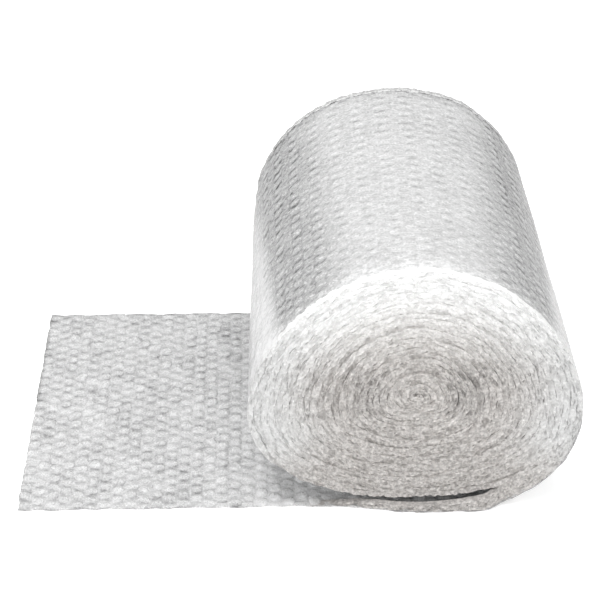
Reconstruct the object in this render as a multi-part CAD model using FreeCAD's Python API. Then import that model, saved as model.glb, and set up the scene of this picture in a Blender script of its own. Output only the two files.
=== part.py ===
# A roll of small-bubble film lying on its side, with its loose end paid out flat along the floor.
# The roll is one continuous web: a smooth film with air bubbles welded to its inner side, wound
# into a spiral that has sagged under its own weight. Seen from the front, the loose end runs in
# from the left, passes under the roll and climbs its right side, and the bubbles face inward.
# The section is drawn in X and Z and carried straight along Y.
# Origin on the floor under the roll's middle, +X to the roll's right, +Y along the roll's axis
# away from its front end, +Z up. Sizes in millimetres.

import FreeCAD, Part
import math
import os
from bisect import bisect_left

# Web
web_width = 300.0
film_thickness = 0.6         # the flat land between two rows of bubbles
bubble_diameter = 10.0
bubble_rise = 3.2            # how far a bubble stands off the film
bubble_pitch = 12.0          # centre to centre along a row; the rows run across the web
winding_gap = 0.5            # least air between neighbouring turns

# A bubble in section: shares of its half diameter from the middle, and of its rise
bubble_profile = [(-1.0, 0.0), (-0.8, 0.65), (-0.36, 1.0), (0.36, 1.0), (0.8, 0.65), (1.0, 0.0)]

# Loose end, and the slack that it climbs into
tail_reach = 310.0           # from the roll's middle to the cut end
lift_off = 52.0              # where the web leaves the floor, right of the middle
level_handle = 43.0          # how far the slack runs on level before it climbs
upright_handle = 40.0        # how far the slack runs upright below the roll's widest point

# Outline of the wound roll
half_width = 124.0
widest_height = 94.0
top_height = 218.0
shoulder = 1.92              # exponent of the upper half: 2 is an ellipse, less is more pointed
belly = 2.2                  # exponent of the lower half: over 2 sits flatter

# Start of the winding
core_offset = 6.0            # the winding's centre lies this far left of the middle
core_radius = 5.0            # film side of the innermost turn, across its narrow way

# Where rows of bubbles are drawn one by one: the loose end, the slack and this many turns
ridged_turns = 1.0

# Fineness of the drawn web
facets_per_turn = 44
slack_facets = 16
length_samples = 2000        # steps in measuring the web's length for the rows
tangent_step = 1e-4          # path on either side of a point that gives its direction

web_thickness = film_thickness + bubble_rise
row_pitch = bubble_pitch * math.cos(math.radians(30.0))
seat = web_thickness + winding_gap
narrow_way = 0.5 * (top_height - seat)
core_x, core_z = -core_offset, seat + narrow_way

# Each turn is this share smaller than the last, so that turns clear each other on the narrow way
shrink = (web_thickness + winding_gap) / narrow_way

# The path runs from 0 to 1 along the floor, from 1 to 2 up the slack, then one for each turn
start_of_slack = 1.0
start_of_winding = 2.0
end_of_winding = start_of_winding + (1 - core_radius / narrow_way) / shrink


def point(x, z):
    return FreeCAD.Vector(x, -web_width / 2, z)


# Control points of the slack, from the floor up to the roll's widest point
slack_handles = [
    point(lift_off, 0),
    point(lift_off + level_handle, 0),
    point(half_width, widest_height - upright_handle),
    point(half_width, widest_height),
]


def outline(angle):
    """X and Z on the roll's outer outline: two half superellipses that meet at the widest height."""
    c, s = math.cos(angle), math.sin(angle)
    if s >= 0:
        height, exponent = top_height - widest_height, shoulder
    else:
        height, exponent = widest_height - seat, belly
    reach = (abs(c / half_width) ** exponent + abs(s / height) ** exponent) ** (-1 / exponent)
    return reach * c, widest_height + reach * s


def film(u):
    """A point on the smooth side of the web."""
    if u < start_of_slack:
        return point(-tail_reach + u * (tail_reach + lift_off), 0)
    if u < start_of_winding:
        t = u - start_of_slack
        a, b, c, d = slack_handles
        return a * (1 - t) ** 3 + b * 3 * t * (1 - t) ** 2 + c * 3 * t ** 2 * (1 - t) + d * t ** 3
    turn = u - start_of_winding
    x, z = outline(2 * math.pi * turn)
    share = 1 - shrink * turn
    return point(core_x + (x - core_x) * share, core_z + (z - core_z) * share)


def raised(u, height):
    """A point over the film, on the side that faces the core."""
    along = film(u + tangent_step) - film(max(0, u - tangent_step))
    return film(u) + FreeCAD.Vector(-along.z, 0, along.x).normalize() * height


def steps(u0, u1, facets):
    """Path values from u0 to u1 in even steps, with this many to a unit of path or a few more."""
    count = max(1, math.ceil((u1 - u0) * facets))
    return [u0 + (u1 - u0) * i / count for i in range(count + 1)]


def row_values():
    """For each row of bubbles, the path value at each point of the bubble's profile."""
    path = steps(0, start_of_winding + ridged_turns, length_samples)
    lengths = [0.0]
    for u0, u1 in zip(path, path[1:]):
        lengths.append(lengths[-1] + (film(u1) - film(u0)).Length)

    def at_length(length):
        i = min(max(bisect_left(lengths, length), 1), len(path) - 1)
        share = (length - lengths[i - 1]) / (lengths[i] - lengths[i - 1])
        return path[i - 1] + share * (path[i] - path[i - 1])

    middles = [(row + 0.5) * row_pitch for row in range(int(lengths[-1] / row_pitch))]
    return [[at_length(m + bubble_diameter / 2 * share) for share, _ in bubble_profile] for m in middles]


def bubbled_side():
    """A land and a ridge for each row from the cut end, then the spiral over the bubbles' tops."""
    points = [raised(0, film_thickness)]
    for values in row_values():
        for u, (_, share) in zip(values, bubble_profile):
            points.append(raised(u, film_thickness + share * bubble_rise))
    plain = steps(values[-1], end_of_winding, facets_per_turn)
    return points + [raised(u, web_thickness) for u in plain]


def smooth_side():
    slack = steps(start_of_slack, start_of_winding, slack_facets)
    spiral = steps(start_of_winding, end_of_winding, facets_per_turn)
    return [film(0)] + [film(u) for u in slack[:-1] + spiral]


loop = smooth_side() + bubbled_side()[::-1]
section = Part.Face(Part.makePolygon(loop + loop[:1]))
web = section.extrude(FreeCAD.Vector(0, web_width, 0))
os.makedirs("parts", exist_ok=True)
web.exportStep("parts/bubble_film_web.step")
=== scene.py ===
import math
import bpy
import numpy as np
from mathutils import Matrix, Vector


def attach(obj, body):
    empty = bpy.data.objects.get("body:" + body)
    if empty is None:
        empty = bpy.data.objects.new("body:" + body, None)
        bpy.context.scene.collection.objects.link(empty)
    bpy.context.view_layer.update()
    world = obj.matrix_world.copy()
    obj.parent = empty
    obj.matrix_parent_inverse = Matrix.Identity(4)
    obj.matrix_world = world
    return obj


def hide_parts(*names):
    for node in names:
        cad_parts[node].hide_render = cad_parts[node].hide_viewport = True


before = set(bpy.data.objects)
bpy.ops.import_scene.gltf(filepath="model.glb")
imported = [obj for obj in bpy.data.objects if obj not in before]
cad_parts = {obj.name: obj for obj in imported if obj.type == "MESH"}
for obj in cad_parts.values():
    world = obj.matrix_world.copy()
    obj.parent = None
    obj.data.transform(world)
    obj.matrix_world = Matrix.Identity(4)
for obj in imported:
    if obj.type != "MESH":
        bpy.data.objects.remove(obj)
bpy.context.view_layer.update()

webNode = "bubble_film_web"
mm = 0.001

# the web itself: a smooth film with air bubbles welded on in staggered rows that run across it
web = {
    "width": 300 * mm,
    "land": 0.6 * mm,         # flat stretch between bubbles
    "rise": 3.2 * mm,         # bubble height over the land
    "bubble": 10 * mm,        # bubble diameter
    "pitch": 12 * mm,         # along a row
    "gap": 0.5 * mm,          # least air between turns
}
web["row"] = web["pitch"] * math.cos(math.radians(30))
web["seat"] = web["land"] + web["rise"] + web["gap"]
halfWidth = web["width"] / 2

# the roll's outline at each end: the front has sagged wider and lower than the back
frontEnd = {"left": 131 * mm, "right": 129 * mm, "widest": 85 * mm, "top": 211 * mm, "shoulder": 1.87,
            "coreX": 2 * mm, "coreZ": 102 * mm}
backEnd = {"left": 123 * mm, "right": 120 * mm, "widest": 104 * mm, "top": 226 * mm, "shoulder": 2.1,
           "coreX": -14 * mm, "coreZ": 120 * mm}
roll = {
    "belly": 2.2,             # lower half, flatter than an ellipse
    "coreRadius": 3 * mm,
    "looseRing": 0.28,        # share of the roll's size at which the turns stand apart, left and right
    "looseTurns": 0.955,      # share that is wound tight at the lower right, with loose turns round it
    "drift": 2.2 * mm,        # how far a turn may stand out from its neighbours at the ends
    "dent": 1.1 * mm,         # how far the turns sag and swell together
}

# the loose end and the slack that it climbs into
looseEnd = {"reach": 310 * mm, "liftOff": 52 * mm, "level": 43 * mm, "upright": 46 * mm,
            "slip": 10 * mm, "ragged": 1.4 * mm}

meanTop = (frontEnd["top"] + backEnd["top"]) / 2
narrowWay = (meanTop - web["seat"]) / 2
shrink = web["seat"] / narrowWay
turns = (1 - roll["coreRadius"] / narrowWay) / shrink
pathEnd = 2 + turns       # path value: 0 to 1 on the floor, 1 to 2 slack, then one for each turn


def endShare(y):
    return np.clip(y / web["width"] + 0.5, 0, 1)


def between(key, y):
    share = endShare(y)
    return frontEnd[key] * (1 - share) + backEnd[key] * share


def outline(angle, y):
    c, s = np.cos(angle), np.sin(angle)
    upper = s >= 0
    widest = between("widest", y)
    height = np.where(upper, between("top", y) - widest, widest - web["seat"])
    power = np.where(upper, between("shoulder", y), roll["belly"])
    side = np.where(c >= 0, between("right", y), between("left", y))
    reach = (np.abs(c / side) ** power + np.abs(s / height) ** power) ** (-1 / power)
    return reach * c, widest + reach * s


# x and z on the smooth side of the web
def filmPoint(u, y):
    x = -looseEnd["reach"] + u * (looseEnd["reach"] + looseEnd["liftOff"])
    z = np.zeros_like(x)
    t = np.clip(u - 1, 0, 1)
    half, widest = between("right", y), between("widest", y)
    handles = [(looseEnd["liftOff"], 0 * y), (looseEnd["liftOff"] + looseEnd["level"], 0 * y),
               (half, widest - looseEnd["upright"]), (half, widest)]
    weights = [(1 - t) ** 3, 3 * t * (1 - t) ** 2, 3 * t * t * (1 - t), t ** 3]
    slackX = sum(h[0] * w for h, w in zip(handles, weights))
    slackZ = sum(h[1] * w for h, w in zip(handles, weights))
    turn = np.maximum(u - 2, 0)
    ox, oz = outline(2 * math.pi * turn, y)
    coreX, coreZ = between("coreX", y), between("coreZ", y)
    share = 1 - shrink * turn
    woundX, woundZ = coreX + (ox - coreX) * share, coreZ + (oz - coreZ) * share
    slack = (u >= 1) & (u < 2)
    wound = u >= 2
    return np.where(wound, woundX, np.where(slack, slackX, x)), np.where(wound, woundZ, np.where(slack, slackZ, z))


def measurePath():
    u = np.linspace(0, pathEnd, 24001)
    x, z = filmPoint(u, np.zeros_like(u))
    return u, np.concatenate([[0], np.cumsum(np.hypot(np.diff(x), np.diff(z)))])


pathValues, pathLengths = measurePath()


def rowAt(u):
    return int(np.interp(u, pathValues, pathLengths) / web["row"])


lastRow = rowAt(pathEnd)
print("web is", round(float(pathLengths[-1]), 2), "m long in", lastRow, "rows of bubbles")


# sideways drift of the winding, so that the turns' edges don't line up
def wander(s):
    slow = np.sin(s / 0.131 + 1.3) + 0.8 * np.sin(s / 0.047 + 0.4)
    quick = 0.7 * np.sin(s / 0.0171 + 2.1) + 0.5 * np.sin(s / 0.0073)
    return (slow + quick) / 3 * roll["drift"]


# under the roll the web has slipped out towards the front
def slip(u):
    out = np.clip((u - 0.66) / 0.22, 0, 1)
    back = np.clip((1.2 - u) / 0.18, 0, 1)
    return -looseEnd["slip"] * out * out * (3 - 2 * out) * back * back * (3 - 2 * back)


# the web is cut through bubbles, so its edges are ragged
def ragged(t):
    return (np.sin(t / 0.0047 + 0.3) + np.sin(t / 0.0029 + 1.1) + np.sin(t / 0.0113 + 2.0)) / 3 * looseEnd["ragged"]


# soft dents that neighbouring turns share
def settle(x, y, z):
    long = np.sin(x / 0.0071 + z / 0.0113 + 0.7) + np.sin(z / 0.0064 - x / 0.0127 + y / 0.03)
    short = np.sin(x / 0.0023 + y / 0.011 + 1.9) * np.sin(z / 0.0026 - y / 0.009)
    size = roll["dent"] * np.clip((z - 6 * mm) / (20 * mm), 0, 1)
    return size * (0.3 * long + 0.35 * short), size * (0.3 * long - 0.35 * short)


# distance from the slack to the tightly wound part, square to the web
def roomToBody(x, z, normalX, normalZ, y):
    coreX, coreZ = between("coreX", y), between("coreZ", y)
    side, widest = between("right", y), between("widest", y)
    near, far = np.zeros_like(x), np.full_like(x, 60 * mm)
    for _ in range(24):
        half = (near + far) / 2
        ox = coreX + (x + normalX * half - coreX) / roll["looseTurns"]
        oz = coreZ + (z + normalZ * half - coreZ) / roll["looseTurns"]
        power = np.where(oz >= widest, between("shoulder", y), roll["belly"])
        height = np.where(oz >= widest, between("top", y) - widest, widest - web["seat"])
        inside = np.abs(ox / side) ** power + np.abs((oz - widest) / height) ** power < 1
        near, far = np.where(inside, near, half), np.where(inside, half, far)
    return near


# how thick a turn is here, as a share of the web's own thickness: looser turns hold fuller bubbles
def fullness(u, x, z, normalX, normalZ, y):
    nextX, nextZ = filmPoint(u + 1, y)
    room = np.abs((nextX - x) * normalX + (nextZ - z) * normalZ)
    fill = (room - 0.02 * mm) / (web["land"] + web["rise"])
    angle, share = 2 * math.pi * (u - 2) + 0.25, 1 - shrink * (u - 2)
    loose = np.exp(-((share - roll["looseRing"]) / 0.016) ** 2) * np.cos(angle) ** 8
    return np.where(u > 2, np.clip(fill, 0.9, 1.5) * (1 - 0.14 * loose), 1)


# the same for the loose turns that fill the wedge at the lower right
def wedgeFullness(u, x, z, normalX, normalZ, y):
    room = roomToBody(x, z, normalX, normalZ, y)
    opened = np.clip((u - wedge["from"]) / (wedge["full"] - wedge["from"]), 0, 1)
    closed = np.clip((u - wedge["closing"]) / (wedge["closed"] - wedge["closing"]), 0, 1)
    fill = (room - wedge["gap"] * (1 - closed)) / (web["land"] + web["rise"])
    thin = np.clip((u - wedge["from"]) / 0.14, 0.1, 1)
    return thin * (1 + (np.clip(fill, 1, 6) - 1) * opened * opened * (3 - 2 * opened))


# carries points given along, across and over the web to where the roll holds them
def layWeb(s, y, h, thickness=fullness):
    u = np.interp(s, pathLengths, pathValues)
    step = 2e-4
    x0, z0 = filmPoint(np.maximum(u - step, 0), y)
    x1, z1 = filmPoint(u + step, y)
    dx, dz = x1 - x0, z1 - z0
    size = np.hypot(dx, dz)
    x, z = filmPoint(u, y)
    h = h * thickness(u, x, z, -dz / size, dx / size, y)
    wound = np.clip(u - 1.5, 0, 1)
    x, z = x - dz / size * h, z + dx / size * h
    sagX, sagZ = settle(x, y, z)
    cutX = ragged(y) * (s < 1e-4)
    cutY = ragged(s + 0.07 * np.sign(y)) * (np.abs(y) > halfWidth - 1e-4) * (u < 2)
    y = y + wander(s) * wound + slip(u) + cutY
    return np.stack([np.maximum(x + sagX * wound + cutX, -looseEnd["reach"]), y, np.maximum(z + sagZ * wound, 0)], 1)


# one bubble's cell is a brick, row by pitch, and a half brick where a row ends at the web's edge
halfRow, halfPitch, quarter = web["row"] / 2, web["pitch"] / 2, web["pitch"] / 4
fullRing = [(1, 0), (1, .5), (1, 1), (0, 1), (-1, 1), (-1, .5), (-1, 0), (-1, -.5), (-1, -1), (0, -1), (1, -1), (1, -.5)]
halfRing = [(1, 0), (1, 1), (0, 1), (-1, 1), (-1, 0), (-1, -1), (0, -1), (1, -1)]


# centres of the full and half bricks between two rows and two places across
def cellsOf(first, last, low, high):
    full, half = [], []
    for row in range(first, last):
        s = (row + 0.5) * web["row"]
        edge = -web["width"] / 2 - (row % 2) * halfPitch
        while edge < high - 1e-6:
            a, b = max(edge, low), min(edge + web["pitch"], high)
            if b - a > 0.9 * web["pitch"]:
                full.append((s, (a + b) / 2))
            elif b - a > 0.4 * web["pitch"]:
                half.append((s, (a + b) / 2))
            edge += web["pitch"]
    return np.array(full), np.array(half)


# points of every bubble: the brick's edge, then one ring for each pair of shares, then the top
def raiseBubbles(centres, rings, base, rise, rng, slump):
    n = len(centres)
    ringAngles = np.arange(12) * math.pi / 6
    swell = np.clip(rng.normal(1 - slump, slump * 0.7, n), 0.25, 1.0)
    dentAngle = rng.uniform(0, 2 * math.pi, n)
    dent = rng.uniform(0, slump * 1.6, n)
    shiftS, shiftY = rng.normal(0, 3 * slump * mm, (2, n))
    points = np.zeros((n, 12 * (len(rings) + 1) + 1, 3))
    for k, (ds, dy) in enumerate(fullRing):
        points[:, k, 0] = centres[:, 0] + ds * halfRow
        points[:, k, 1] = centres[:, 1] + dy * halfPitch
        points[:, k, 2] = base
    for j, (radius, height) in enumerate(rings):
        r = web["bubble"] / 2 * radius * (1 + rng.normal(0, 0.03 * (j > 0), (n, 12)))
        lean = 1 - dent[:, None] * np.maximum(np.cos(ringAngles - dentAngle[:, None]), 0)
        crumple = 1 + rng.normal(0, slump * 0.3, (n, 12))
        at = slice(12 * (j + 1), 12 * (j + 2))
        points[:, at, 0] = centres[:, :1] + r * np.cos(ringAngles) + (shiftS * height)[:, None]
        points[:, at, 1] = centres[:, 1:] + r * np.sin(ringAngles) + (shiftY * height)[:, None]
        points[:, at, 2] = base + rise * height * swell[:, None] * lean * crumple
    points[:, -1, 0] = centres[:, 0] + shiftS
    points[:, -1, 1] = centres[:, 1] + shiftY
    points[:, -1, 2] = base + rise * swell * (1 - 0.4 * dent) * (1 + rng.normal(0, slump * 0.3, n))
    return points


# quads between the rings of a cell and a fan to its middle
def ringFaces(count, layers):
    quads, fans = [], []
    for j in range(layers - 1):
        for k in range(count):
            m = (k + 1) % count
            quads.append((j * count + k, j * count + m, (j + 1) * count + m, (j + 1) * count + k))
    top = (layers - 1) * count
    for k in range(count):
        fans.append((top + k, top + (k + 1) % count, layers * count))
    return quads, fans


def padHalf(centres, base, rise, rng):
    n = len(centres)
    points = np.zeros((n, 9, 3))
    for k, (ds, dy) in enumerate(halfRing):
        points[:, k, 0] = centres[:, 0] + ds * halfRow
        points[:, k, 1] = centres[:, 1] + dy * quarter
        points[:, k, 2] = base
    points[:, 8, 0], points[:, 8, 1] = centres[:, 0], centres[:, 1]
    points[:, 8, 2] = base + rise * rng.uniform(0.55, 1, n)
    return points


# joins cells into one list of points and faces, with shared points used once
def gather(parts):
    points, faces, start = [], [], 0
    for cell, quads, fans in parts:
        if not len(cell):
            continue
        n, m = cell.shape[:2]
        points.append(cell.reshape(-1, 3))
        shift = (np.arange(n) * m + start)[:, None, None]
        for group in (quads, fans):
            if group:
                faces.append((np.array(group)[None] + shift).reshape(-1, len(group[0])))
        start += n * m
    points = np.concatenate(points)
    keys = np.round(points * 1e7).astype(np.int64)
    kept, first, back = np.unique(keys, axis=0, return_index=True, return_inverse=True)
    return points[first], [back.reshape(-1)[f] for f in faces]


def borderEdges(faces):
    edges = np.concatenate([np.stack([f, np.roll(f, -1, 1)], 2).reshape(-1, 2) for f in faces])
    seen = set(map(tuple, edges.tolist()))
    return [(a, b) for a, b in seen if (b, a) not in seen]


# a stretch of the web as one closed skin: smooth film on one side, bubbles on the other
def quilt(name, first, last, low, high, look, seed):
    rng = np.random.default_rng(seed)
    full, half = cellsOf(first, last, low, high)
    none = np.zeros((0, 9, 3))
    domes = raiseBubbles(full, look["dome"], web["land"], web["rise"], rng, look["slump"])
    domePads = padHalf(half, web["land"], look["cutRise"] * web["rise"], rng) if len(half) else none
    backs = raiseBubbles(full, look["back"], 0, -look["bulge"], rng, 0.15)
    backPads = padHalf(half, 0, 0, rng) if len(half) else none
    padFaces = ringFaces(8, 1)
    top, topFaces = gather([(domes, *ringFaces(12, len(look["dome"]) + 1)), (domePads, *padFaces)])
    under, underFaces = gather([(backs, *ringFaces(12, len(look["back"]) + 1)), (backPads, *padFaces)])
    twin = {(round(s * 1e7), round(y * 1e7)): i for i, (s, y, h) in enumerate(under) if h == 0}
    wall = []
    for a, b in borderEdges(topFaces):
        a1, b1 = (twin[(round(top[i][0] * 1e7), round(top[i][1] * 1e7))] + len(top) for i in (a, b))
        wall.append((b, a, a1, b1))
    points = np.concatenate([top, under])
    polygons = topFaces + [f[:, ::-1] + len(top) for f in underFaces] + [np.array(wall)]
    return makeMesh(name, points, polygons)


# points are along, across and over the web, and the first two also go into a map for the finish
def makeMesh(name, points, polygons, thickness=fullness):
    mesh = bpy.data.meshes.new(name)
    where = layWeb(points[:, 0], points[:, 1], points[:, 2], thickness)
    mesh.vertices.add(len(where))
    mesh.vertices.foreach_set("co", where.astype(np.float32).ravel())
    loops = np.concatenate([p.reshape(-1) for p in polygons])
    sizes = np.concatenate([np.full(len(p), p.shape[1]) for p in polygons])
    mesh.loops.add(len(loops))
    mesh.loops.foreach_set("vertex_index", loops.astype(np.int32))
    mesh.polygons.add(len(sizes))
    mesh.polygons.foreach_set("loop_start", (np.cumsum(sizes) - sizes).astype(np.int32))
    mesh.update(calc_edges=True)
    uv = mesh.uv_layers.new(name="web")
    uv.data.foreach_set("uv", (points[loops, :2] / web["pitch"]).astype(np.float32).ravel())
    mesh.polygons.foreach_set("use_smooth", np.ones(len(sizes), bool))
    mesh.validate()
    mesh.set_sharp_from_angle(angle=math.radians(50))
    piece = bpy.data.objects.new(name, mesh)
    bpy.context.scene.collection.objects.link(piece)
    triangles = int((sizes - 2).sum())
    print(name, "has", triangles, "triangles")
    return piece


# the web between two places across as a plain closed band, where nothing shows its bubbles
def plainBand(name, u0, u1, low, high, perTurn):
    s0, s1 = np.interp([u0, u1], pathValues, pathLengths)
    u = np.linspace(u0, u1, int((u1 - u0) * perTurn) + 1)
    s = np.interp(u, pathValues, pathLengths)
    n, across = len(s), np.linspace(low, high, 5)
    thick = web["land"] + web["rise"]
    points, m = [], len(across)
    for h in (thick, 0):
        for y in across:
            points.append(np.stack([s, np.full(n, y), np.full(n, h)], 1))
    points = np.concatenate(points)
    index = np.arange(2 * m * n).reshape(2, m, n)
    polygons = []
    for j in range(m - 1):
        for i in range(n - 1):
            polygons.append((index[0, j, i], index[0, j, i + 1], index[0, j + 1, i + 1], index[0, j + 1, i]))
            polygons.append((index[1, j, i], index[1, j + 1, i], index[1, j + 1, i + 1], index[1, j, i + 1]))
    for i in range(n - 1):
        polygons.append((index[0, 0, i + 1], index[0, 0, i], index[1, 0, i], index[1, 0, i + 1]))
        polygons.append((index[0, -1, i], index[0, -1, i + 1], index[1, -1, i + 1], index[1, -1, i]))
    for j in range(m - 1):
        polygons.append((index[0, j, 0], index[0, j + 1, 0], index[1, j + 1, 0], index[1, j, 0]))
        polygons.append((index[0, j + 1, -1], index[0, j, -1], index[1, j, -1], index[1, j + 1, -1]))
    return makeMesh(name, points, [np.array(polygons)])


# the cut edge of the wound turns, where film and squashed bubbles show end on
turnEnd = {
    "depth": 7 * mm,          # how far in the edge is drawn
    "step": 1.2 * mm,         # along the web
    "layers": [0, 0.14, 0.3, 0.5, 0.72, 0.9, 1],     # across the turn's thickness, film first
    "film": 0.3 * mm,         # how far the film's own edge stands out
    "pillow": 0.9 * mm,       # bulge of a whole bubble, or
    "pocket": 2.2 * mm,       # hollow of one that the cut has opened
    "crinkle": 0.6 * mm,
}
# loose turns between the slack and the roll, as path values: where they start and where they fill the wedge
wedge = {
    "from": 0.63, "full": 0.96, "closing": 1.15, "closed": 1.32, "to": 1.995,
    "gap": 3.4 * mm,          # left open under the roll
    "layers": [k / 14 for k in range(15)],
}


def turnEnds(name, u0, u1, side, layers, seed, thickness=fullness):
    rng = np.random.default_rng(seed)
    s0, s1 = np.interp([u0, u1], pathValues, pathLengths)
    s = np.linspace(s0, s1, int((s1 - s0) / turnEnd["step"]) + 1)
    layers = np.array(layers)
    n, m = len(s), len(layers)
    row = (s / web["row"]).astype(int)
    share = s / web["row"] - row
    window = np.sin(math.pi * share)[:, None] ** 0.7
    body = np.sin(math.pi * np.clip((layers - 0.14) / 0.86, 0, 1))[None] ** 0.8
    swell = np.where(row % 2 == 0, turnEnd["pillow"], -turnEnd["pocket"]) * rng.uniform(0.2, 1, row.max() + 1)[row]
    noise = rng.normal(0, 1, (n, m))
    noise = (noise + 0.6 * np.roll(noise, 1, 0) + 0.6 * np.roll(noise, -1, 0)) / 1.3
    out = swell[:, None] * window * body + turnEnd["crinkle"] * noise + turnEnd["film"] * (layers < 0.2)[None]
    heights = layers[None] + 0.05 * rng.normal(0, 1, (n, m)) * body
    thick = web["land"] + web["rise"]
    edge = side * (web["width"] / 2 + out - 1.2 * mm)
    inner = np.full((n, 1), side * (web["width"] / 2 - turnEnd["depth"]))
    across = np.concatenate([inner, edge, inner], 1)
    high = np.concatenate([np.zeros((n, 1)), heights, np.ones((n, 1))], 1) * thick
    along = np.repeat(s[:, None], m + 2, 1)
    points = np.stack([along, across, high], 2).reshape(-1, 3)
    index = np.arange(n * (m + 2)).reshape(n, m + 2)
    nextUp = np.roll(index, -1, 1)
    quads = np.stack([index[:-1], index[1:], nextUp[1:], nextUp[:-1]], 2).reshape(-1, 4)
    if side > 0:
        quads = quads[:, ::-1]
    caps = [tuple(index[0]), tuple(index[-1][::-1])]
    if side > 0:
        caps = [c[::-1] for c in caps]
    return makeMesh(name, points, [quads, np.array(caps)], thickness)


# finishes
def startMaterial(name):
    material = bpy.data.materials.new(name)
    material.use_nodes = True
    material.node_tree.nodes.clear()
    return material, material.node_tree


# adds a node, fills its inputs by name or by place, and gives its first output
def add(tree, kind, inputs=(), **settings):
    node = tree.nodes.new("ShaderNode" + kind)
    for key, value in settings.items():
        setattr(node, key, value)
    pairs = inputs.items() if isinstance(inputs, dict) else enumerate(inputs)
    for key, value in pairs:
        if isinstance(value, bpy.types.NodeSocket):
            tree.links.new(value, node.inputs[key])
        elif value is not None:
            node.inputs[key].default_value = value
    return node.outputs[0] if node.outputs else node


def math2(tree, operation, a, b=None):
    return add(tree, "Math", (a, b), operation=operation)


def ramp(tree, value, low, high, toLow=0.0, toHigh=1.0):
    return add(tree, "MapRange", (value, low, high, toLow, toHigh), interpolation_type="SMOOTHSTEP")


def grain(tree, place, size, detail=2.0):
    return add(tree, "TexNoise", {"Vector": place, "Scale": 1 / size, "Detail": detail})


rowShare = web["row"] / web["pitch"]


# where a point lies in its bubble's cell, in pitches, and how far it is from the web's edge
def bubblePattern(tree, place, wobble):
    parts = add(tree, "SeparateXYZ", (add(tree, "UVMap", uv_map="web"),)).node.outputs
    along = math2(tree, "DIVIDE", parts[0], rowShare)
    row = math2(tree, "FLOOR", along)
    odd = math2(tree, "FLOORED_MODULO", row, 2.0)
    across = math2(tree, "ADD", math2(tree, "ADD", parts[1], 0.5), math2(tree, "MULTIPLY", odd, 0.5))
    column = math2(tree, "FLOOR", across)
    fromRow = math2(tree, "MULTIPLY", math2(tree, "SUBTRACT", math2(tree, "FRACT", along), 0.5), rowShare)
    fromColumn = math2(tree, "SUBTRACT", math2(tree, "FRACT", across), 0.5)
    offset = add(tree, "CombineXYZ", (fromRow, fromColumn, 0.0))
    stray = math2(tree, "MULTIPLY", math2(tree, "SUBTRACT", grain(tree, place, 4 * mm), 0.5), wobble)
    distance = math2(tree, "ADD", add(tree, "VectorMath", (offset,), operation="LENGTH").node.outputs["Value"], stray)
    wavy = math2(tree, "ADD", parts[1], math2(tree, "MULTIPLY", stray, 1.5))
    border = math2(tree, "SUBTRACT", web["width"] / web["pitch"] / 2, math2(tree, "ABSOLUTE", parts[1]))
    return {
        "distance": distance,
        "fromRow": math2(tree, "ABSOLUTE", fromRow),
        "fromColumn": math2(tree, "ADD", math2(tree, "ABSOLUTE", fromColumn), stray),
        "chance": add(tree, "TexWhiteNoise", (add(tree, "CombineXYZ", (row, column, 0.0)),), noise_dimensions="2D"),
        "border": math2(tree, "MINIMUM", border, parts[0]),
        "along": parts[0],
        "across": parts[1],
        "fromArc": math2(tree, "ABSOLUTE", math2(tree, "SUBTRACT", math2(tree, "FRACT", wavy), 0.5)),
    }


# painted shade along the roll's flanks, and a pale strip outside them that is partly the outer turn standing off
# towards the front and partly painted sheen
def flankShadeAndSheen(tree, place):
    parts = add(tree, "SeparateXYZ", (place,)).node.outputs
    front, back = (frontEnd["left"] + frontEnd["right"]) / 2, (backEnd["left"] + backEnd["right"]) / 2
    half = math2(tree, "ADD", math2(tree, "MULTIPLY", parts[1], (back - front) / web["width"]), (front + back) / 2)
    share = math2(tree, "DIVIDE", math2(tree, "ABSOLUTE", parts[0]), half)
    share = math2(tree, "SUBTRACT", share, math2(tree, "MULTIPLY", parts[1], 0.1 / halfWidth))
    sheenStrip = ramp(tree, share, 0.86, 0.95)
    return math2(tree, "MULTIPLY", ramp(tree, share, 0.38, 0.74), math2(tree, "SUBTRACT", 1.0, sheenStrip)), sheenStrip


# the part of the floor that the roll covers, with a soft border
footprint = {"outX": 86 * mm, "inX": 54 * mm, "outY": 154 * mm, "inY": 145 * mm}


def underRoll(tree, parts):
    inX = ramp(tree, math2(tree, "ABSOLUTE", parts[0]), footprint["outX"], footprint["inX"])
    inY = ramp(tree, math2(tree, "ABSOLUTE", parts[1]), footprint["outY"], footprint["inY"])
    return math2(tree, "MULTIPLY", inX, inY)


# painted shade on the film under the roll, near the floor, where the roll presses it flat
def shadeUnderRoll(tree, place):
    parts = add(tree, "SeparateXYZ", (place,)).node.outputs
    return math2(tree, "MULTIPLY", underRoll(tree, parts), ramp(tree, parts[2], 14 * mm, 8 * mm))


# creases that run along the web
def creases(tree, stretch, size):
    spread = add(tree, "Mapping", {"Vector": add(tree, "UVMap", uv_map="web"), "Scale": (1, stretch, 1)})
    return add(tree, "TexNoise", {"Vector": spread, "Scale": size, "Detail": 3.0, "Roughness": 0.6})


def grey(tree, value, tint):
    colour = add(tree, "CombineColor", (value, value, value))
    return add(tree, "Mix", {6: colour, 7: tint, 0: 1.0}, data_type="RGBA", blend_type="MULTIPLY").node.outputs[2]
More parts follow.
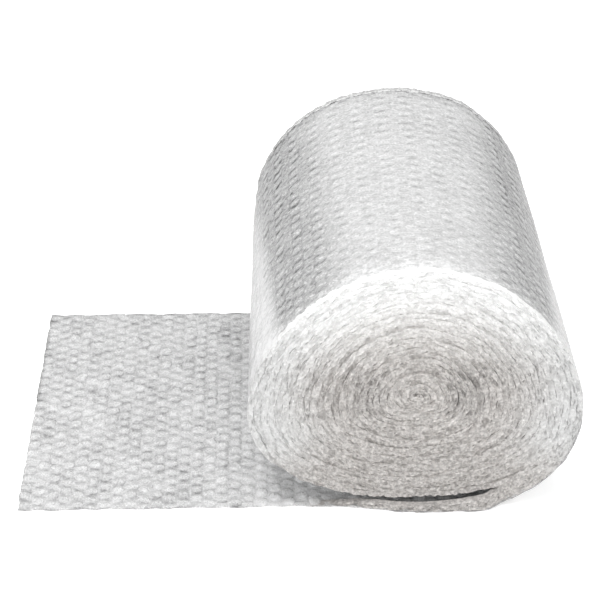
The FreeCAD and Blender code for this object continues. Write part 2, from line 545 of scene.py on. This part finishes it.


# clear film with bubbles: painted shade makes it grey round a bubble's rim or in dashes between bubbles, and a painted
# highlight makes it pale on its crown
def makeClearFilm(name, look):
    material, tree = startMaterial(name)
    place = add(tree, "TexCoord").node.outputs["Object"]
    cell = bubblePattern(tree, place, look["wobble"])
    fold = grain(tree, place, look["fold"], 3.0)
    fine = grain(tree, place, look["fold"] / 2.2, 2.0)
    crease = creases(tree, look["stretch"], look["crease"])
    flankShade, sheenStrip = flankShadeAndSheen(tree, place)
    start = rowAt(2) * rowShare
    fresh = ramp(tree, cell["along"], start - look["lead"], start + 3)
    flankShade, sheenStrip = math2(tree, "MULTIPLY", flankShade, fresh), math2(tree, "MULTIPLY", sheenStrip, fresh)
    disc = ramp(tree, cell["distance"], 0.43, 0.33)
    # painted shade: grey round each bubble's rim, in dashes and arcs between bubbles, along the flanks and at the
    # web's cut edges
    ring = math2(tree, "MULTIPLY", ramp(tree, cell["distance"], 0.30, 0.41), ramp(tree, cell["distance"], 0.52, 0.42))
    dash = math2(tree, "MULTIPLY", ramp(tree, cell["fromColumn"], 0.29, 0.46), ramp(tree, cell["fromRow"], 0.42, 0.24))
    bubbleShade = math2(tree, "ADD", math2(tree, "MULTIPLY", ring, look["ring"]), math2(tree, "MULTIPLY", dash, look["dash"]))
    arc = math2(tree, "MULTIPLY", ramp(tree, cell["fromArc"], 0.2, 0.44), ramp(tree, cell["across"], -10.0, 9.0, 0.35))
    bubbleShade = math2(tree, "ADD", bubbleShade, math2(tree, "MULTIPLY", arc, look["arc"]))
    weave = math2(tree, "MULTIPLY", ramp(tree, cell["fromRow"], 0.26, 0.42), flankShade)
    bubbleShade = math2(tree, "ADD", bubbleShade, math2(tree, "MULTIPLY", weave, look["weave"]))
    bubbleShade = math2(tree, "MULTIPLY", bubbleShade, ramp(tree, fold, 0.36, 0.58))
    bubbleShade = math2(tree, "MAXIMUM", bubbleShade, ramp(tree, cell["border"], 0.12, 0.02, 0.0, 0.8))
    # painted highlight on each bubble's crown
    crownHighlight = math2(tree, "MULTIPLY", ramp(tree, cell["fromColumn"], 0.24, 0.04), ramp(tree, fine, 0.45, 0.6))
    # painted shade and painted highlights grow stronger along the flanks
    steeper = math2(tree, "ADD", 1.0, math2(tree, "MULTIPLY", flankShade, look["contrast"]))
    bubbleShade, crownHighlight = math2(tree, "MULTIPLY", bubbleShade, steeper), math2(tree, "MULTIPLY", crownHighlight, steeper)
    rear = ramp(tree, cell["across"], -1.0, 1.0)
    hem = math2(tree, "MULTIPLY", ramp(tree, cell["border"], look["hemWidth"], 0.05), ramp(tree, fold, 0.3, 0.55))
    hem = math2(tree, "MULTIPLY", hem, rear)
    # painted light: paler along the web's front edge and near its start
    frontEdgeLight = math2(tree, "MULTIPLY", ramp(tree, cell["border"], 2.2, 0.4), ramp(tree, fold, 0.36, 0.6))
    frontEdgeLight = math2(tree, "MULTIPLY", frontEdgeLight, math2(tree, "SUBTRACT", 1.0, rear))
    left = add(tree, "SeparateXYZ", (place,)).node.outputs[0]
    # painted light lifts the loose film beside the roll, where the roll's shadow falls, and the painted bubble shade
    # is weaker there
    near = math2(tree, "MULTIPLY", ramp(tree, left, -160 * mm, -100 * mm), ramp(tree, left, -20 * mm, -60 * mm))
    near = math2(tree, "MULTIPLY", near, ramp(tree, cell["across"], 5.0, -6.0))
    patch = grain(tree, place, 34 * mm, 1.0)
    bubbleShade = math2(tree, "MULTIPLY", bubbleShade, ramp(tree, patch, 0.36, 0.56, 1 - look["patch"], 1.0))
    bubbleShade = math2(tree, "MULTIPLY", bubbleShade, ramp(tree, near, 0.0, 1.0, 1.0, 1 - 2.3 * look["near"]))
    far = math2(tree, "MULTIPLY", ramp(tree, left, -290 * mm, -200 * mm), ramp(tree, left, -115 * mm, -150 * mm))
    parts = [
        math2(tree, "MULTIPLY", fresh, look["rise"]), math2(tree, "MULTIPLY", far, -look["shade"]), math2(tree, "MULTIPLY", near, look["near"]), math2(tree, "MULTIPLY", disc, look["disc"]), math2(tree, "MULTIPLY", bubbleShade, -look["rim"]),
        math2(tree, "MULTIPLY", crownHighlight, look["crownHighlight"]), math2(tree, "MULTIPLY", flankShade, -look["flankShade"]),
        math2(tree, "MULTIPLY", sheenStrip, look["sheenStrip"]), math2(tree, "MULTIPLY", hem, -look["hem"]),
        math2(tree, "MULTIPLY", shadeUnderRoll(tree, place), -look["shadeUnderRoll"]), math2(tree, "MULTIPLY", frontEdgeLight, look["frontEdgeLight"]),
        math2(tree, "MULTIPLY", math2(tree, "SUBTRACT", cell["chance"], 0.5), look["spread"]),
        math2(tree, "MULTIPLY", math2(tree, "SUBTRACT", 0.5, patch), 0.3 * look["patch"]),
        math2(tree, "MULTIPLY", math2(tree, "SUBTRACT", fold, 0.5), look["mottle"]),
        math2(tree, "MULTIPLY", math2(tree, "SUBTRACT", fine, 0.5), look["speckle"]),
        math2(tree, "MULTIPLY", math2(tree, "SUBTRACT", crease, 0.5), look["streak"]),
    ]
    tone = look["land"]
    for part in parts:
        tone = math2(tree, "ADD", tone, part)
    tone = math2(tree, "MAXIMUM", math2(tree, "MINIMUM", tone, 0.98), 0.02)
    colour = grey(tree, tone, look["tint"])
    height = math2(tree, "ADD", math2(tree, "MULTIPLY", disc, look["swell"]), fold)
    height = math2(tree, "ADD", height, math2(tree, "MULTIPLY", fine, look["fineDepth"]))
    height = math2(tree, "ADD", height, math2(tree, "MULTIPLY", crease, look["creaseDepth"]))
    normal = add(tree, "Bump", {"Height": height, "Strength": look["wrinkle"], "Distance": 0.001})
    film = add(tree, "BsdfPrincipled", {"Base Color": colour, "Roughness": look["roughness"], "IOR": 1.5,
                                        "Normal": normal, "Coat Weight": look["coat"], "Coat Roughness": 0.1})
    glow = add(tree, "BsdfTranslucent", {"Color": colour, "Normal": normal})
    body = add(tree, "MixShader", (look["glow"], film, glow))
    clear = add(tree, "BsdfTransparent", {"Color": look["tint"]})
    edge = add(tree, "LayerWeight", {"Blend": 0.35, "Normal": normal}).node.outputs["Facing"]
    cover = ramp(tree, edge, 0.1, 0.9, 1 - look["seeThrough"], 1.0)
    cover = math2(tree, "MAXIMUM", cover, math2(tree, "MULTIPLY", bubbleShade, look["rimCover"]))
    skin = add(tree, "MixShader", (cover, clear, body))
    add(tree, "OutputMaterial", (skin,))
    return material


# wound film seen on edge: painted light makes it white along the top and paler at the sides, it is greyer and warmer
# towards the core and below, with painted shade beside the core and painted glints
woundFilm = {
    "top": 0.89, "side": 0.67, "deep": 0.52,          # tone along the top, at the sides and further in
    "core": 0.02, "besideCoreShade": 0.07,                       # the core is a little lighter, its sides darker
    "topDepth": 0.19, "sideDepth": 0.38,               # how deep the pale rim reaches, as a share of the roll
    "warm": (1.0, 0.958, 0.925, 1), "neutral": (0.99, 0.99, 0.985, 1),
    "speck": 2.2 * mm, "arc": 4 * mm, "arcWidth": 1.7 * mm, "speckDepth": 0.21, "arcDepth": 0.07, "bump": 0.35,
    "glow": 0.12, "roughness": 0.25, "glint": 0.16, "glintSize": 1.9 * mm, "rearRim": 0.5,
}


def makeWoundFilm():
    look = woundFilm
    material, tree = startMaterial("woundFilm")
    place = add(tree, "TexCoord").node.outputs["Object"]
    parts = add(tree, "SeparateXYZ", (place,)).node.outputs
    right = math2(tree, "DIVIDE", math2(tree, "SUBTRACT", parts[0], frontEnd["coreX"]), frontEnd["right"])
    up = math2(tree, "SUBTRACT", parts[2], frontEnd["coreZ"])
    up = math2(tree, "DIVIDE", up, frontEnd["top"] - frontEnd["coreZ"])
    out = add(tree, "VectorMath", (add(tree, "CombineXYZ", (right, up, 0.0)),), operation="LENGTH")
    out = out.node.outputs["Value"]
    # painted light: a pale rim round the end, reaching deeper along the top than at the sides and fading in towards
    # the core
    slope = math2(tree, "DIVIDE", up, math2(tree, "MAXIMUM", out, 0.05))
    rising = ramp(tree, slope, 0.1, 1.0)
    depth = math2(tree, "ADD", look["sideDepth"], math2(tree, "MULTIPLY", rising, look["topDepth"]))
    white = math2(tree, "DIVIDE", math2(tree, "SUBTRACT", out, math2(tree, "SUBTRACT", 1.0, depth)), depth)
    white = math2(tree, "MULTIPLY", ramp(tree, white, -0.5, 0.8), ramp(tree, slope, -0.85, -0.35))
    pale = math2(tree, "ADD", look["side"], math2(tree, "MULTIPLY", rising, look["top"] - look["side"]))
    # painted shade in the gaps left and right of the core
    besideCoreShade = math2(tree, "MULTIPLY", ramp(tree, out, 0.12, 0.26), ramp(tree, out, 0.5, 0.32))
    besideCoreShade = math2(tree, "MULTIPLY", besideCoreShade, ramp(tree, math2(tree, "ABSOLUTE", slope), 0.8, 0.3))
    along, across = add(tree, "SeparateXYZ", (add(tree, "UVMap", uv_map="web"),)).node.outputs[:2]
    streak = add(tree, "CombineXYZ", (math2(tree, "MULTIPLY", along, web["pitch"] / look["arc"]),
                                      math2(tree, "MULTIPLY", out, frontEnd["right"] / look["arcWidth"]), 0.0))
    arc = add(tree, "TexNoise", {"Vector": streak, "Scale": 1.0, "Detail": 2.0})
    speck = grain(tree, place, look["speck"], 3.0)
    tone = math2(tree, "ADD", look["deep"], math2(tree, "MULTIPLY", ramp(tree, out, 0.28, 0.1), look["core"]))
    tone = math2(tree, "SUBTRACT", tone, math2(tree, "MULTIPLY", besideCoreShade, look["besideCoreShade"]))
    tone = math2(tree, "ADD", tone, math2(tree, "MULTIPLY", white, math2(tree, "SUBTRACT", pale, tone)))
    calm = math2(tree, "SUBTRACT", 1.0, math2(tree, "MULTIPLY", white, 0.5))
    shade = math2(tree, "MULTIPLY", math2(tree, "SUBTRACT", ramp(tree, speck, 0.36, 0.66), 0.5), look["speckDepth"])
    lines = math2(tree, "MULTIPLY", math2(tree, "SUBTRACT", ramp(tree, arc, 0.34, 0.66), 0.5), look["arcDepth"])
    tone = math2(tree, "ADD", tone, math2(tree, "MULTIPLY", math2(tree, "ADD", shade, lines), calm))
    glint = ramp(tree, grain(tree, place, look["glintSize"], 1.0), 0.6, 0.74)
    tone = math2(tree, "ADD", tone, math2(tree, "MULTIPLY", glint, look["glint"]))
    facing = add(tree, "SeparateXYZ", (add(tree, "NewGeometry").node.outputs["Normal"],)).node.outputs[1]
    outside = rowAt(3) * web["row"] / web["pitch"]
    rim = math2(tree, "MULTIPLY", ramp(tree, along, outside, outside - 0.5), ramp(tree, facing, 0.8, 0.4))
    rim = math2(tree, "MULTIPLY", math2(tree, "MULTIPLY", rim, ramp(tree, across, 11.9, 12.1)), look["rearRim"])
    tone = math2(tree, "SUBTRACT", tone, math2(tree, "MULTIPLY", rim, ramp(tree, speck, 0.36, 0.56, 0.3, 1.0)))
    tone = math2(tree, "MAXIMUM", math2(tree, "MINIMUM", tone, 0.98), 0.1)
    tint = add(tree, "Mix", {0: white, 6: look["warm"], 7: look["neutral"]}, data_type="RGBA").node.outputs[2]
    colour = grey(tree, tone, tint)
    height = math2(tree, "ADD", speck, math2(tree, "MULTIPLY", arc, 0.7))
    normal = add(tree, "Bump", {"Height": height, "Strength": look["bump"], "Distance": 0.001})
    film = add(tree, "BsdfPrincipled", {"Base Color": colour, "Roughness": look["roughness"], "Normal": normal})
    glow = add(tree, "BsdfTranslucent", {"Color": colour, "Normal": normal})
    add(tree, "OutputMaterial", (add(tree, "MixShader", (look["glow"], film, glow)),))
    return material


def hold(piece, material):
    piece.data.materials.append(material)
    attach(piece, "root")
    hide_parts(webNode)


looseFilm = {
    "land": 0.725, "disc": 0.0, "crownHighlight": 0.2, "rim": 0.3, "ring": 0.12, "dash": 1.0,
    "flankShade": 0.0, "sheenStrip": 0.0, "contrast": 0.0, "hem": 0.3, "hemWidth": 0.4, "frontEdgeLight": 0.0, "shadeUnderRoll": 0.1, "near": 0.22, "shade": 0.035, "patch": 0.5, "lead": 6.0, "rise": 0.02,
    "arc": 0.0, "weave": 0.0, "spread": 0.06, "mottle": 0.45, "speckle": 0.7, "fold": 2.8 * mm, "wobble": 0.6,
    "streak": 0.5, "crease": 1.5, "stretch": 2.4, "creaseDepth": 1.0, "fineDepth": 0.7,
    "tint": (0.99, 0.99, 0.992, 1), "swell": 0.1, "wrinkle": 0.9, "roughness": 0.14, "coat": 0.4,
    "glow": 0.25, "seeThrough": 0.38, "rimCover": 0.8,
}
outerFilm = dict(looseFilm, land=0.745, crownHighlight=0.13, rim=0.25, ring=0.1, dash=0.65,
                 flankShade=0.17, sheenStrip=0.16, contrast=0.85, hem=0.46, hemWidth=1.5, frontEdgeLight=0.22, shadeUnderRoll=0, near=0, shade=0, patch=0.25, lead=0.0, rise=0.02,
                 arc=0.7, weave=0.4, spread=0.04, mottle=0.3, speckle=0.5, fold=4.2 * mm, wobble=0.5,
                 streak=0.5, crease=1.8, stretch=3.2, creaseDepth=1.5, fineDepth=0.4,
                 swell=0.3, wrinkle=0.7, seeThrough=0.3)

clearLoose, clearOuter = makeClearFilm("looseFilm", looseFilm), makeClearFilm("outerFilm", outerFilm)
wound = makeWoundFilm()
slackEnd, outerEnd = rowAt(2), rowAt(3)

looseLook = {"dome": [(1, 0), (0.84, 0.6), (0.5, 0.92)], "back": [], "bulge": 0, "slump": 0.48, "cutRise": 0.4}
hold(quilt("loose_end", 0, slackEnd, -halfWidth, halfWidth, looseLook, 11), clearLoose)
outerLook = {"dome": [(1, 0), (0.78, 0.75)], "back": [(0.9, 0.3)], "bulge": 0.3 * mm, "slump": 0.16, "cutRise": 0.6}
hold(quilt("outer_turn", slackEnd, outerEnd, -halfWidth + halfPitch, halfWidth - halfPitch, outerLook, 12), clearOuter)
print("outer turn and loose end done")

hold(turnEnds("wound_turns_front_end", 2, pathEnd, -1, turnEnd["layers"], 13), wound)
hold(turnEnds("wound_turns_back_end", 2, pathEnd, 1, turnEnd["layers"], 14), wound)
for name, side, seed in (("loose_turns_front_end", -1, 15), ("loose_turns_back_end", 1, 16)):
    hold(turnEnds(name, wedge["from"], wedge["to"], side, wedge["layers"], seed, wedgeFullness), wound)
middle = halfWidth - turnEnd["depth"]
hold(plainBand("wound_turns_middle", 3, pathEnd, -middle, middle, 48), wound)
print("wound turns done")


# stage: pale floor that keeps the shadow, white to the camera all round the roll's footprint
def makeFloor():
    bpy.ops.mesh.primitive_plane_add(size=12, location=(0, 2, -0.0005))
    floor = bpy.context.object
    floor.name = "floor"
    material, tree = startMaterial("paleFloor")
    matt = add(tree, "BsdfDiffuse", {"Color": (0.82, 0.82, 0.82, 1)})
    seen = add(tree, "LightPath").node.outputs["Is Camera Ray"]
    parts = add(tree, "SeparateXYZ", (add(tree, "NewGeometry").node.outputs["Position"],)).node.outputs
    # painted shadow: the camera-only glow that whitens the floor is mostly left out under the roll
    under = math2(tree, "MULTIPLY", underRoll(tree, parts), 0.8)
    bare = math2(tree, "MULTIPLY", seen, math2(tree, "SUBTRACT", 1.0, under))
    lift = add(tree, "Emission", {"Strength": math2(tree, "MULTIPLY", bare, 0.5)})
    add(tree, "OutputMaterial", (add(tree, "AddShader", (matt, lift)),))
    floor.data.materials.append(material)


# the camera, gloss and glass see white; soft light comes from all round
def makeWorld():
    world = bpy.data.worlds.new("studio")
    bpy.context.scene.world = world
    world.use_nodes = True
    tree = world.node_tree
    tree.nodes.clear()
    rays = add(tree, "LightPath").node.outputs
    seen = math2(tree, "MAXIMUM", rays["Is Camera Ray"], rays["Is Glossy Ray"])
    seen = math2(tree, "MAXIMUM", seen, rays["Is Transmission Ray"])
    soft = add(tree, "Background", {"Strength": 0.62})
    white = add(tree, "Background", {"Strength": 1.0})
    add(tree, "OutputWorld", (add(tree, "MixShader", (seen, soft, white)),))


def makeLamp(name, place, target, size, power):
    lamp = bpy.data.lights.new(name, "AREA")
    lamp.shape = "SQUARE"
    lamp.size = size
    lamp.energy = power
    holder = bpy.data.objects.new(name, lamp)
    bpy.context.scene.collection.objects.link(holder)
    holder.location = place
    holder.rotation_euler = aim(place, target)
    return holder


def aim(place, target):
    return (Vector(target) - Vector(place)).to_track_quat("-Z", "Y").to_euler()


makeFloor()
makeWorld()
makeLamp("topLight", (-0.2, 0, 2.2), (0, 0, 0.1), 1.4, 40)
makeLamp("frontLight", (0, -2.4, 0.9), (0, 0, 0.1), 1.4, 24)
makeLamp("leftLight", (-1.8, -1.2, 0.6), (0, 0, 0.1), 1.2, 13)
makeLamp("rightLight", (2.0, -0.9, 0.6), (0, 0, 0.1), 1.2, 8)

# camera where the photograph was taken from
view = {"place": (-0.1185, -1.3437, 0.8815), "forward": (0.0220, 0.8644, -0.5023), "lens": 112.56}
camera = bpy.data.objects.new("camera", bpy.data.cameras.new("camera"))
bpy.context.scene.collection.objects.link(camera)
camera.location = view["place"]
camera.rotation_euler = aim(view["place"], [p + f for p, f in zip(view["place"], view["forward"])])
camera.data.lens = view["lens"]
camera.data.sensor_width = 36
bpy.context.scene.camera = camera
bpy.context.scene.view_settings.view_transform = "Standard"
print("stage done")
